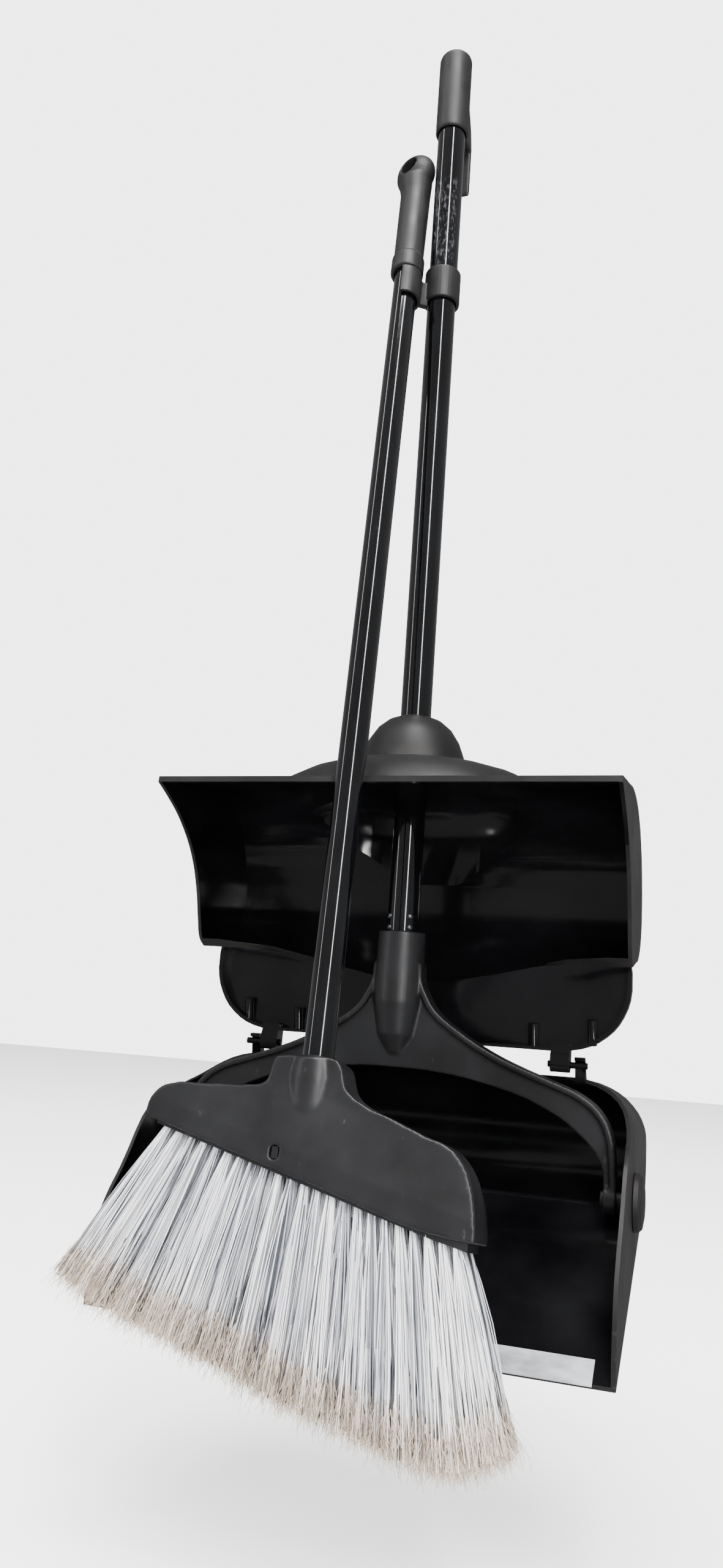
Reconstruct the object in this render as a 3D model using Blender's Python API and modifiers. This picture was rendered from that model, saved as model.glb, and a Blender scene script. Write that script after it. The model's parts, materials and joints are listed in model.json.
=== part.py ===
"""Lobby dustpan with a hinged hood, and the angled broom that clips to its pole.

Run with: blender --background --python part.py
Units are metres, +Z is up. The world origin is the seat of the hook that the set hangs by.
The pieces are laid out in the set's own frame, whose origin is on the pole's axis at the
height of the hood hinge: x to the right, y to the back, z up the pole.
"""

import math

import bmesh
import bpy
from mathutils import Euler, Matrix, Vector

MM = 0.001
GAP = 0.3 * MM  # between pieces that touch

# Pole and its grip
POLE_RADIUS = 11 * MM
TUBE_WALL = 1 * MM
POLE_BOTTOM = 40 * MM
POLE_TOP = 788 * MM
HOOK_SEAT = Vector((0, 16 * MM, 727 * MM))
GRIP_RADIUS = 13.3 * MM
GRIP_TOP = 801.5 * MM

# Pan and hood
WALL = 2.5 * MM
PAN_HALF_WIDTH = 160.1 * MM
HOOD_HALF_WIDTH = 155.8 * MM
PIVOT = Vector((0, 0, -79 * MM))
HINGE = Vector((0, 36.5 * MM, 0))
HINGE_PIN_RADIUS = 2.2 * MM
PIVOT_RADIUS = 4.8 * MM

# The hood moves down its pole and tilts as the pan closes, which is a turn about a far axis
HOOD_TRAVEL_AXIS = Vector((0, 742.5 * MM, 165.6 * MM))

# Broom: its axis passes the clip and leans forward on its way down
CLIP = Vector((-24.5 * MM, -18 * MM, 585 * MM))
BROOM_UP = Vector((-0.0265, 0.185, 1)).normalized()
BROOM_RADIUS = 9.25 * MM


def rotation_to(up):
    """The turn that takes z to the given direction and keeps x in the front plane."""
    x = Vector((1, 0, 0))
    x = (x - up * x.dot(up)).normalized()
    return Matrix((x, up.cross(x), up)).transposed()


BROOM_TURN = rotation_to(BROOM_UP).to_euler()


# ---------------------------------------------------------------- scene and collections

for old in list(bpy.data.objects):
    bpy.data.objects.remove(old)

parts = bpy.data.collections.new("dustpan_and_broom_set")
tools = bpy.data.collections.new("cutters")
for collection in (parts, tools):
    bpy.context.scene.collection.children.link(collection)


def empty(name, location, parent=None, turn=(0, 0, 0)):
    """A frame that pieces hang from, at a place in its parent's frame."""
    made = bpy.data.objects.new(name, None)
    parts.objects.link(made)
    made.location = location
    made.rotation_euler = turn
    made.parent = parent
    return made


set_frame = empty("set_frame", -HOOK_SEAT)
pan_axis = empty("pan_axis", PIVOT, set_frame)
hood_axis = empty("hood_axis", HOOD_TRAVEL_AXIS, set_frame)
broom_axis = empty("broom_axis", CLIP, set_frame, BROOM_TURN)
FRAME_ORIGIN = {set_frame: Vector(), pan_axis: PIVOT, hood_axis: HOOD_TRAVEL_AXIS}


def material(name, colour, roughness, metallic=0.0):
    made = bpy.data.materials.new(name)
    made.use_nodes = True
    shader = made.node_tree.nodes["Principled BSDF"]
    shader.inputs["Base Color"].default_value = (*colour, 1)
    shader.inputs["Roughness"].default_value = roughness
    shader.inputs["Metallic"].default_value = metallic
    made.diffuse_color = (*colour, 1)
    return made


MATT_PLASTIC = material("matt black polypropylene", (0.035, 0.036, 0.039), 0.55)
PAN_PLASTIC = material("black polypropylene, glossy inside", (0.012, 0.013, 0.014), 0.3)
GRIP_PLASTIC = material("grey-black grip plastic", (0.055, 0.056, 0.06), 0.7)
COATED_STEEL = material("black coated steel tube", (0.01, 0.01, 0.011), 0.18, 0.3)
STEEL = material("bright steel", (0.5, 0.5, 0.52), 0.3, 1.0)
LIP_RUBBER = material("grey lip rubber", (0.33, 0.34, 0.35), 0.6)
FILAMENT = material("silver-grey filament", (0.6, 0.61, 0.64), 0.5)


def keep(obj, name, look, frame):
    """Makes an object one of the set's pieces, standing in the given frame."""
    obj.name = name
    obj.data.name = name
    obj.data.materials.clear()
    obj.data.materials.append(look)
    for collection in list(obj.users_collection):
        collection.objects.unlink(obj)
    parts.objects.link(obj)
    obj.parent = frame
    if frame in FRAME_ORIGIN:
        obj.location -= FRAME_ORIGIN[frame]
    return obj


def cutter(obj, frame=set_frame):
    """Hides an object and keeps it as a tool for a Boolean."""
    for collection in list(obj.users_collection):
        collection.objects.unlink(obj)
    tools.objects.link(obj)
    obj.parent = frame
    obj.hide_render = True
    obj.display_type = "WIRE"
    return obj


def combine(obj, tool, operation="DIFFERENCE"):
    """Cuts, joins or trims a piece with a tool by an exact Boolean."""
    step = obj.modifiers.new(operation.lower(), "BOOLEAN")
    step.operation = operation
    step.solver = "EXACT"
    step.object = tool
    return obj


# ---------------------------------------------------------------- shape makers


def from_bmesh(name, bm):
    mesh = bpy.data.meshes.new(name)
    bm.to_mesh(mesh)
    bm.free()
    obj = bpy.data.objects.new(name, mesh)
    parts.objects.link(obj)
    return obj


def smooth(obj, angle=35):
    obj.data.shade_smooth()
    obj.data.set_sharp_from_angle(angle=math.radians(angle))
    return obj


def box(name, low, high):
    """A block between two corners."""
    bm = bmesh.new()
    bmesh.ops.create_cube(bm, size=1)
    size = Vector(high) - Vector(low)
    bmesh.ops.scale(bm, vec=size, verts=bm.verts)
    bmesh.ops.translate(bm, vec=(Vector(high) + Vector(low)) / 2, verts=bm.verts)
    return from_bmesh(name, bm)


def rod(name, radius, start, end, sides=32, end_radius=None):
    """A round bar, or a cone, between two points."""
    start, end = Vector(start), Vector(end)
    bm = bmesh.new()
    bmesh.ops.create_cone(
        bm,
        cap_ends=True,
        segments=sides,
        radius1=radius,
        radius2=radius if end_radius is None else end_radius,
        depth=(end - start).length,
    )
    turn = (end - start).to_track_quat("Z", "Y").to_matrix().to_4x4()
    place = Matrix.Translation((start + end) / 2) @ turn
    bmesh.ops.transform(bm, matrix=place, verts=bm.verts)
    return smooth(from_bmesh(name, bm))


def turned(name, profile, steps=32):
    """A closed solid turned about z from (radius, height) points, listed from the top down.

    The profile starts and ends on the axis, or is a closed ring clear of it.
    """
    on_axis = profile[0][0] == 0
    bm = bmesh.new()
    corners = [bm.verts.new((r, 0, z)) for r, z in profile]
    pairs = list(zip(corners, corners[1:]))
    if not on_axis:
        pairs.append((corners[-1], corners[0]))
    for a, b in pairs:
        bm.edges.new((a, b))
    obj = from_bmesh(name, bm)
    screw = obj.modifiers.new("turn", "SCREW")
    screw.steps = steps
    screw.render_steps = steps
    screw.use_merge_vertices = True
    screw.merge_threshold = 0.00001
    screw.use_smooth_shade = True
    return obj


def outline(name, points, low, high, turn=(0, 0, 0), fineness=4):
    """A slab with a curved outline, from low to high along its own z.

    Each point is (x, y) for a smooth point or (x, y, "corner") for a sharp one.
    """
    curve = bpy.data.curves.new(name, "CURVE")
    curve.dimensions = "2D"
    curve.fill_mode = "BOTH"
    curve.extrude = (high - low) / 2
    curve.resolution_u = fineness
    spline = curve.splines.new("BEZIER")
    spline.bezier_points.add(len(points) - 1)
    spline.use_cyclic_u = True
    for knot, point in zip(spline.bezier_points, points):
        knot.co = (point[0], point[1], 0)
        kind = "VECTOR" if len(point) > 2 else "AUTO"
        knot.handle_left_type = kind
        knot.handle_right_type = kind
    drawn = bpy.data.objects.new(name, curve)
    parts.objects.link(drawn)
    rotation = Euler(turn).to_matrix()
    drawn.rotation_euler = turn
    drawn.location = rotation @ Vector((0, 0, (high + low) / 2))
    obj = as_mesh(drawn)
    bm = bmesh.new()
    bm.from_mesh(obj.data)
    bmesh.ops.transform(bm, matrix=obj.matrix_world, verts=bm.verts)
    bmesh.ops.dissolve_limit(bm, angle_limit=math.radians(0.5), verts=bm.verts, edges=bm.edges)
    bm.to_mesh(obj.data)
    bm.free()
    obj.matrix_world = Matrix()
    return smooth(obj)


def as_mesh(curve_object):
    """Turns a curve object into a closed mesh object and removes the curve."""
    bpy.context.view_layer.update()
    seen = curve_object.evaluated_get(bpy.context.evaluated_depsgraph_get())
    mesh = bpy.data.meshes.new_from_object(seen)
    bm = bmesh.new()
    bm.from_mesh(mesh)
    bmesh.ops.remove_doubles(bm, verts=bm.verts, dist=0.00001)
    bmesh.ops.recalc_face_normals(bm, faces=bm.faces)
    bm.to_mesh(mesh)
    bm.free()
    obj = bpy.data.objects.new(curve_object.name, mesh)
    obj.matrix_world = curve_object.matrix_world
    parts.objects.link(obj)
    bpy.data.objects.remove(curve_object)
    return obj


SIDE_VIEW = (math.pi / 2, 0, math.pi / 2)  # outline x runs to the back, y up, thickness along x
FRONT_VIEW = (math.pi / 2, 0, 0)  # outline x runs right, y up, thickness towards the front


def millimetres(points):
    return [(x * MM, y * MM, *kind) for x, y, *kind in points]


def side_slab(name, points, low, high, fineness=4):
    return outline(name, millimetres(points), low, high, SIDE_VIEW, fineness)


def front_slab(name, points, front, back, fineness=3):
    """A slab seen from the front, between two depths."""
    return outline(name, millimetres(points), -back, -front, FRONT_VIEW, fineness)


def mirrored(points):
    """Both halves of a symmetric outline from the right half, listed from the top down."""
    left = [(-x, *rest) for x, *rest in reversed(points) if x > 0]
    return list(points) + left


# ---------------------------------------------------------------- dustpan handle

# A drawn steel tube, coated black. It is open at both ends.
pole = turned(
    "dustpan_pole",
    [
        (POLE_RADIUS - TUBE_WALL, POLE_TOP),
        (POLE_RADIUS, POLE_TOP),
        (POLE_RADIUS, POLE_BOTTOM),
        (POLE_RADIUS - TUBE_WALL, POLE_BOTTOM),
    ],
)
keep(pole, "dustpan_pole", COATED_STEEL, set_frame)

RIVET_LEVELS = (84.2 * MM, 91.8 * MM)
RIVET_SPREAD = math.radians(43)
RIVET_RADIUS = 1.5 * MM
rivet_ways = [
    (Vector((side * math.sin(RIVET_SPREAD), -math.cos(RIVET_SPREAD), 0)), height)
    for height in RIVET_LEVELS
    for side in (-1, 1)
]
RIVET_TIP = 6 * MM
for way, height in rivet_ways:
    up = Vector((0, 0, height))
    hole = rod("rivet hole", RIVET_RADIUS + 0.1 * MM, up + way * 5.5 * MM, up + way * 14 * MM, 12)
    combine(pole, cutter(hole))

# Four short rivets hold the tube on the yoke's spigot
for number, (way, height) in enumerate(rivet_ways, 1):
    rivet = turned(
        f"pole_rivet_{number}",
        [
            (0, POLE_RADIUS + 1.2 * MM),
            (1.4 * MM, POLE_RADIUS + 1 * MM),
            (RIVET_RADIUS + 0.7 * MM, POLE_RADIUS + 0.3 * MM),
            (RIVET_RADIUS, POLE_RADIUS + 0.3 * MM),
            (RIVET_RADIUS, RIVET_TIP),
            (0, RIVET_TIP),
        ],
        12,
    )
    rivet.rotation_euler = way.to_track_quat("Z", "Y").to_euler()
    rivet.location = (0, 0, height)
    keep(rivet, rivet.name, STEEL, set_frame)

# The grip is a moulded cap over the tube's end. Its back carries the flat hanging hook.
grip = turned(
    "dustpan_grip",
    [
        (0, GRIP_TOP),
        (6 * MM, GRIP_TOP - 0.2 * MM),
        (10.4 * MM, GRIP_TOP - 1 * MM),
        (12.4 * MM, GRIP_TOP - 2.4 * MM),
        (GRIP_RADIUS, GRIP_TOP - 5 * MM),
        (GRIP_RADIUS, HOOK_SEAT.z + 1 * MM),
        (GRIP_RADIUS - 0.8 * MM, HOOK_SEAT.z),
        (0, HOOK_SEAT.z),
    ],
    32,
)
hook = side_slab(
    "hook",
    [
        (8, 760, "corner"),
        (8, 727, "corner"),
        (20, 727, "corner"),
        (20.3, 722, "corner"),
        (20.6, 690, "corner"),
        (21.5, 687, "corner"),
        (23, 687, "corner"),
        (24.4, 691, "corner"),
        (24.6, 732, "corner"),
        (21, 745, "corner"),
        (12, 760, "corner"),
    ],
    -11 * MM,
    11 * MM,
)
combine(grip, cutter(hook), "UNION")
bore = rod(
    "grip bore",
    POLE_RADIUS + GAP,
    (0, 0, HOOK_SEAT.z - 5 * MM),
    (0, 0, POLE_TOP + GAP),
    32,
)
combine(grip, cutter(bore))
keep(grip, "dustpan_grip", GRIP_PLASTIC, set_frame)

# ---------------------------------------------------------------- yoke

# The yoke is one moulding: a socket with a spigot for the tube, a web, and two arms that
# reach down inside the pan to its pivots. A flange stiffens the outer edge.
YOKE_OUTER = [
    (17, 60),
    (18, 48),
    (21.5, 40),
    (28, 30),
    (43, 18.5),
    (66, 5.5),
    (90, -4.2),
    (112, -11.5),
    (126, -17),
    (139, -26.5),
    (146, -39),
    (148.5, -55),
    (149.5, -72, "corner"),
    (149.5, -84, "corner"),
]
WEB_INNER = [
    (141.5, -82, "corner"),
    (141.5, -72, "corner"),
    (139.5, -58),
    (127, -43),
    (104, -28),
    (66, -16),
    (24, -10),
    (0, -9.4),
]
FLANGE_STEP = 4.2


def inset(points, step):
    """Moves an outline's points inwards from the side that they turn about."""
    moved = []
    for i, point in enumerate(points):
        before = points[max(i - 1, 0)]
        after = points[min(i + 1, len(points) - 1)]
        run = Vector((after[0] - before[0], after[1] - before[1])).normalized()
        moved.append((point[0] + run.y * step, point[1] - run.x * step, *point[2:]))
    return moved


flange_outer = [(17, 60, "corner"), *YOKE_OUTER[1:]]
flange_inner = inset(flange_outer, FLANGE_STEP)
web_outer = inset(flange_outer, FLANGE_STEP / 2)
web_outer[-1] = (web_outer[-1][0], -82, "corner")
yoke = front_slab("yoke", mirrored([(0, 60, "corner"), *web_outer, *WEB_INNER]), -4 * MM, -0.8 * MM)
for side in (-1, 1):
    band = [(side * x, *rest) for x, *rest in [*flange_outer, *reversed(flange_inner)]]
    flange = front_slab("yoke flange", band, -7.5 * MM, 7.5 * MM)
    combine(yoke, cutter(flange), "UNION")
    boss = rod(
        "arm boss",
        9.2 * MM,
        (side * 141.5 * MM, PIVOT.y, PIVOT.z),
        (side * 149.6 * MM, PIVOT.y, PIVOT.z),
        32,
    )
    combine(yoke, cutter(boss), "UNION")
SOCKET_TOP = 81.6 * MM
socket = turned(
    "socket",
    [
        (0, SOCKET_TOP),
        (15.6 * MM, SOCKET_TOP),
        (16.2 * MM, SOCKET_TOP - 1 * MM),
        (17.2 * MM, 50 * MM),
        (17 * MM, 34 * MM),
        (13 * MM, 12 * MM),
        (6 * MM, 0),
        (0, -2 * MM),
    ],
    32,
)
combine(yoke, cutter(socket), "UNION")
spigot_cut = turned(
    "spigot gap",
    [
        (9.7 * MM, 103 * MM),
        (POLE_RADIUS + GAP, 103 * MM),
        (POLE_RADIUS + GAP, POLE_BOTTOM - GAP),
        (9.7 * MM, POLE_BOTTOM - GAP),
    ],
)
combine(yoke, cutter(spigot_cut))
spigot = rod("spigot", 9.7 * MM, (0, 0, 50 * MM), (0, 0, 100 * MM), 32)
combine(yoke, cutter(spigot), "UNION")
for way, height in rivet_ways:
    up = Vector((0, 0, height))
    hole = rod("spigot hole", RIVET_RADIUS + 0.1 * MM, up + way * 5.5 * MM, up + way * 12 * MM, 12)
    combine(yoke, cutter(hole))
bore = rod(
    "pivot bore",
    PIVOT_RADIUS + GAP,
    (-170 * MM, PIVOT.y, PIVOT.z),
    (170 * MM, PIVOT.y, PIVOT.z),
    32,
)
combine(yoke, cutter(bore))
keep(yoke, "yoke", MATT_PLASTIC, set_frame)

# ---------------------------------------------------------------- pole clip

# A ring on the pole and a jaw that snaps over the broom's tube, in one moulding
to_broom = Vector((CLIP.x, CLIP.y, 0))
ring = turned(
    "pole_clip",
    [
        (POLE_RADIUS + GAP, 598.5 * MM),
        (13.8 * MM, 598.5 * MM),
        (14 * MM, 598 * MM),
        (14 * MM, 572 * MM),
        (13.8 * MM, 571.5 * MM),
        (POLE_RADIUS + GAP, 571.5 * MM),
    ],
)
JAW_INNER = BROOM_RADIUS + 0.9 * MM
JAW_OUTER = JAW_INNER + 2.3 * MM
JAW_SPAN = (math.radians(-91), math.radians(160))  # angles that the jaw covers, from +x
JAW_STEPS = 26


def arc(radius, start, end, steps):
    turns = [start + (end - start) * i / steps for i in range(steps + 1)]
    return [(radius * math.cos(a) / MM, radius * math.sin(a) / MM, "corner") for a in turns]


jaw = outline(
    "jaw",
    millimetres(
        arc(JAW_OUTER, *JAW_SPAN, JAW_STEPS) + list(reversed(arc(JAW_INNER, *JAW_SPAN, JAW_STEPS)))
    ),
    -22 * MM,
    4 * MM,
    fineness=1,
)
jaw.parent = set_frame
jaw.location = CLIP
jaw.rotation_euler = BROOM_TURN
web = box("clip web", (12.2 * MM, -2.6 * MM, 566 * MM), (19 * MM, 2.6 * MM, 586 * MM))
web.rotation_euler = (0, 0, math.atan2(to_broom.y, to_broom.x))
combine(ring, cutter(web), "UNION")
combine(ring, cutter(jaw), "UNION")
keep(ring, "pole_clip", GRIP_PLASTIC, set_frame)

# ---------------------------------------------------------------- pan

# The pan is one thin moulding: end walls, a ramp that rises from the lip to a crest, a bin
# behind the crest, and a rounded back. The side outline is drawn with y to the back.
PAN_RIM = [
    (46, -8, "corner"),
    (31, -21),
    (-5, -34),
    (-29, -42),
    (-39, -45),
    (-72, -84),
    (-86, -100),
    (-95, -116),
    (-99, -140),
    (-98.5, -162.6, "corner"),
]
PAN_BACK = [
    (-94, -163.4, "corner"),
    (25, -112),
    (80, -89, "corner"),
    (92, -80),
    (97.5, -64),
    (95, -46),
    (84, -30),
    (65, -15),
]
pan = side_slab("pan_shell", PAN_RIM + PAN_BACK, -PAN_HALF_WIDTH, PAN_HALF_WIDTH)
PAN_FRONT = [
    (0, -7.9, "corner"),
    (119, -7.9, "corner"),
    (138, -13.4),
    (152, -25),
    (159.2, -40),
    (160.2, -52, "corner"),
    (160.2, -200, "corner"),
    (0, -200, "corner"),
]
rounded = front_slab("pan corners", mirrored(PAN_FRONT), -150 * MM, 150 * MM)
combine(pan, cutter(rounded), "INTERSECT")
PAN_INSIDE = [
    (-140, -188, "corner"),
    (-97, -159.6, "corner"),
    (14, -85.5, "corner"),
    (17, -83),
    (20.5, -84),
    (23, -88),
    (27, -104, "corner"),
    (30, -107.3),
    (78, -86.6),
    (90, -78),
    (95, -64),
    (92.5, -47),
    (82, -32),
    (64, -17.6),
    (44, -10.6, "corner"),
    (30, 40, "corner"),
    (-200, 40, "corner"),
    (-200, -188, "corner"),
]
inside = side_slab(
    "pan inside", PAN_INSIDE, -PAN_HALF_WIDTH + WALL, PAN_HALF_WIDTH - WALL
)
PAN_FRONT_INSIDE = [
    (0, 45, "corner"),
    (117.2, 45, "corner"),
    (118.4, -10.2, "corner"),
    (136.8, -15.4),
    (150.2, -26.2),
    (156.9, -41),
    (157.6, -52, "corner"),
    (157.6, -195, "corner"),
    (0, -195, "corner"),
]
inside_corners = front_slab("inside corners", mirrored(PAN_FRONT_INSIDE), -210 * MM, 150 * MM)
combine(inside, cutter(inside_corners), "INTERSECT")
combine(pan, cutter(inside))
UNDERSIDE = [
    (-88, -172, "corner"),
    (-86.5, -155.4, "corner"),
    (16, -86.8, "corner"),
    (20, -89, "corner"),
    (24.4, -105, "corner"),
    (26, -118, "corner"),
]
under = side_slab(
    "pan underside", UNDERSIDE, -PAN_HALF_WIDTH + WALL, PAN_HALF_WIDTH - WALL
)
combine(pan, cutter(under))
# two ears, each with an open hook behind the hood's hinge pin, and a rib beside it
EAR = [
    (39.4, 2.7, "corner"),
    (36, 2.9, "corner"),
    (35.4, 5.2, "corner"),
    (40, 5.6, "corner"),
    (43.5, 2, "corner"),
    (50, -9, "corner"),
    (62, -14, "corner"),
    (62, -17, "corner"),
    (44, -12.6, "corner"),
    (42, -10, "corner"),
]
EAR_RIB = EAR[5:] + [(42, -8, "corner")]
EAR_AT, EAR_HALF = 119.5 * MM, 3.5 * MM
RIB_AT, RIB_HALF = 104 * MM, 11 * MM
for side in (-1, 1):
    ear = side_slab("ear", EAR, side * EAR_AT - EAR_HALF, side * EAR_AT + EAR_HALF)
    combine(pan, cutter(ear), "UNION")
    rib = side_slab("ear rib", EAR_RIB, side * RIB_AT - RIB_HALF, side * RIB_AT + RIB_HALF)
    combine(pan, cutter(rib), "UNION")
    thick = rod(
        "pivot pad",
        11.5 * MM,
        (side * (PAN_HALF_WIDTH - 3.6 * MM), PIVOT.y, PIVOT.z),
        (side * (PAN_HALF_WIDTH - 1 * MM), PIVOT.y, PIVOT.z),
        32,
    )
    combine(pan, cutter(thick), "UNION")
combine(pan, bpy.data.objects["pivot bore"])
keep(pan, "pan_shell", PAN_PLASTIC, pan_axis)

# A grey rubber strip is moulded along the ramp's front edge
RAMP_TILT = math.atan2(159.6 - 85.5, 97 + 14)
STRIP_LOW = Vector((-97.6 * MM, -159.6 * MM))
along = Vector((math.cos(RAMP_TILT), math.sin(RAMP_TILT)))
across = Vector((-along.y, along.x))
strip_corners = [
    STRIP_LOW + along * a * MM + across * b * MM
    for a, b in ((-3.5, 0.35), (14, 0.35), (14, 1.2), (-1.5, 1.5), (-3.5, 1.1))
]
strip = side_slab(
    "lip_strip",
    [(c.x / MM, c.y / MM, "corner") for c in strip_corners],
    -148 * MM,
    148 * MM,
)
keep(strip, "lip_strip", LIP_RUBBER, pan_axis)

# Each pivot pin is a round cap outside the wall and an axle through it into the yoke's arm
for name, side in (("pivot_pin_left", -1), ("pivot_pin_right", 1)):
    cap = turned(
        name,
        [
            (0, 6.4 * MM),
            (10 * MM, 6.2 * MM),
            (15.5 * MM, 5.2 * MM),
            (17.3 * MM, 3.2 * MM),
            (17.6 * MM, GAP),
            (PIVOT_RADIUS, GAP),
            (PIVOT_RADIUS, -20 * MM),
            (PIVOT_RADIUS - 0.8 * MM, -20.8 * MM),
            (0, -20.8 * MM),
        ],
        36,
    )
    cap.rotation_euler = (0, side * math.pi / 2, 0)
    cap.location = (side * PAN_HALF_WIDTH, PIVOT.y, PIVOT.z)
    keep(cap, name, PAN_PLASTIC, pan_axis)

# ---------------------------------------------------------------- hood

# The hood is one thin moulding: a trough across the top, closed by end walls, a flat plate
# below it that ends in the hinge, and a dome that rides on the pole.
HOOD_BACK = [
    (44.6, 48),
    (57, 62),
    (71, 84),
    (76.5, 105),
    (74, 128),
    (62, 152),
    (38, 172),
    (0, 181.5),
    (-45, 178),
    (-84, 173.6, "corner"),
]
HOOD_EDGE = [
    (-84.6, 169.4, "corner"),
    (-68.6, 162),
    (-47, 149.5),
    (-24, 128),
    (-11.5, 106),
    (-4, 84.5),
    (1.4, 71.5),
    (10, 66, "corner"),
    (42, 48, "corner"),
]
hood = side_slab("hood_shell", HOOD_BACK + HOOD_EDGE, -HOOD_HALF_WIDTH, HOOD_HALF_WIDTH, 4)
HOOD_INSIDE = [
    (38, 47, "corner"),
    (42.3, 50, "corner"),
    (54.6, 63.4),
    (68.5, 85.2),
    (74, 105),
    (71.6, 127),
    (60.2, 150.2),
    (37, 169.6),
    (0, 179),
    (-45, 175.5),
    (-80, 171.6, "corner"),
    (-80, 169.6, "corner"),
    (-120, 169.6, "corner"),
    (-120, 47, "corner"),
]
TROUGH_FALL = 24 * MM  # how much higher the trough's lower edge is at the ends
FALL_TOP = 112 * MM


def raise_ends(obj):
    """Lifts the trough's lower edge towards the ends, so it meets the plate in a low sweep."""
    bm = bmesh.new()
    bm.from_mesh(obj.data)
    for i in range(-5, 6):
        place = Vector((i * 28 * MM, 0, 0))
        bmesh.ops.bisect_plane(
            bm, geom=bm.verts[:] + bm.edges[:] + bm.faces[:], plane_co=place, plane_no=(1, 0, 0)
        )
    for vert in bm.verts:
        share = min(abs(vert.co.x) / (140 * MM), 1)
        sweep = share * share * (3 - 2 * share)
        depth = min(max((FALL_TOP - vert.co.z) / (FALL_TOP - 48 * MM), 0), 1)
        if vert.co.y > 30 * MM or vert.co.z < 60 * MM:
            vert.co.z += TROUGH_FALL * sweep * depth * depth
    bmesh.ops.triangulate(bm, faces=bm.faces)
    bm.to_mesh(obj.data)
    bm.free()
    return obj


raise_ends(hood)
PLATE_HALF = [
    (0, 84, "corner"),
    (150, 84, "corner"),
    (153, 52),
    (148, 34),
    (137, 20),
    (120, 11),
    (98, 8.5, "corner"),
    (0, 8.5, "corner"),
]
tray = front_slab("plate", mirrored(PLATE_HALF), 34 * MM, 44.6 * MM)
tray_inside = front_slab(
    "plate inside",
    mirrored([
        (0, 90, "corner"),
        (147.6, 90, "corner"),
        (150.5, 52),
        (145.7, 35.4),
        (135.4, 22.2),
        (119.4, 13.4),
        (98, 10.9, "corner"),
        (0, 10.9, "corner"),
    ]),
    20 * MM,
    42.1 * MM,
)
combine(hood, cutter(tray), "UNION")
combine(hood, cutter(tray_inside))
SWELL_SCALE = 1.28
swell = turned(
    "dome swell",
    [
        (0, 201 * MM),
        (36 * MM, 200 * MM),
        (46 * MM, 197.5 * MM),
        (60 * MM, 192 * MM),
        (72 * MM, 184 * MM),
        (78 * MM, 172 * MM),
        (79 * MM, 160 * MM),
        (76 * MM, 122 * MM),
        (0, 120 * MM),
    ],
)
swell.scale = (SWELL_SCALE, 1, 1)
combine(hood, cutter(swell), "UNION")
DOME = [
    (0, 236),
    (12, 235.4),
    (20, 232),
    (27, 226),
    (32.5, 217.5),
    (36, 208),
    (38.5, 199),
    (40, 180),
]
dome = turned("dome", [(r * MM, z * MM) for r, z in DOME] + [(0, 180 * MM)])
combine(hood, cutter(dome), "UNION")
trough_inside = side_slab(
    "hood inside", HOOD_INSIDE, -HOOD_HALF_WIDTH + WALL, HOOD_HALF_WIDTH - WALL, 4
)
combine(hood, cutter(raise_ends(trough_inside)))
swell_inside = turned(
    "swell inside",
    [
        (0, 198 * MM),
        (34 * MM, 197.4 * MM),
        (44 * MM, 195 * MM),
        (58 * MM, 189.4 * MM),
        (69.5 * MM, 182 * MM),
        (75.4 * MM, 171 * MM),
        (76.5 * MM, 160 * MM),
        (73.6 * MM, 124.5 * MM),
        (0, 122.5 * MM),
    ],
)
swell_inside.scale = (SWELL_SCALE, 1, 1)
combine(hood, cutter(swell_inside))
dome_inside = turned(
    "dome inside", [(max(r - 2.6, 0) * MM, (z - 2.6) * MM) for r, z in DOME] + [(0, 177 * MM)]
)
combine(hood, cutter(dome_inside))
# The hole is longer to the back, because the hood tilts on the pole as it comes down
for place in (0, 1.5 * MM, 3 * MM):
    hole = rod("dome hole", 12 * MM, (0, place, 215 * MM), (0, place, 250 * MM), 32)
    combine(hood, cutter(hole))
TAB = [
    (43.4, 14, "corner"),
    (43.4, 6),
    (41.8, -2.4),
    (36.5, -5.2),
    (31.6, -2.4),
    (31.4, 3),
    (34, 9, "corner"),
    (34, 14, "corner"),
]
for side in (-1, 1):
    tab = side_slab("hinge tab", TAB, side * 106.5 * MM - 6.5 * MM, side * 106.5 * MM + 6.5 * MM)
    combine(hood, cutter(tab), "UNION")
hinge_bore = rod("hinge bore", HINGE_PIN_RADIUS + GAP, (-0.2, *HINGE.yz), (0.2, *HINGE.yz), 24)
combine(hood, cutter(hinge_bore))
RIB_PLACES = (87, 127)
for side in (-1, 1):
    for place in RIB_PLACES:
        height = 9.2 * MM if place < 100 else 14 * MM
        rib = rod(
            "plate rib",
            3.4 * MM,
            (side * place * MM, 41 * MM, height),
            (side * place * MM, 38 * MM, height + 17 * MM),
            16,
        )
        combine(hood, cutter(rib), "UNION")
keep(hood, "hood_shell", PAN_PLASTIC, hood_axis)

for name, side in (("hinge_pin_left", -1), ("hinge_pin_right", 1)):
    pin = rod(name, HINGE_PIN_RADIUS, (side * 98 * MM, *HINGE.yz), (side * 125 * MM, *HINGE.yz), 24)
    keep(pin, name, PAN_PLASTIC, hood_axis)

# ---------------------------------------------------------------- broom

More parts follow.
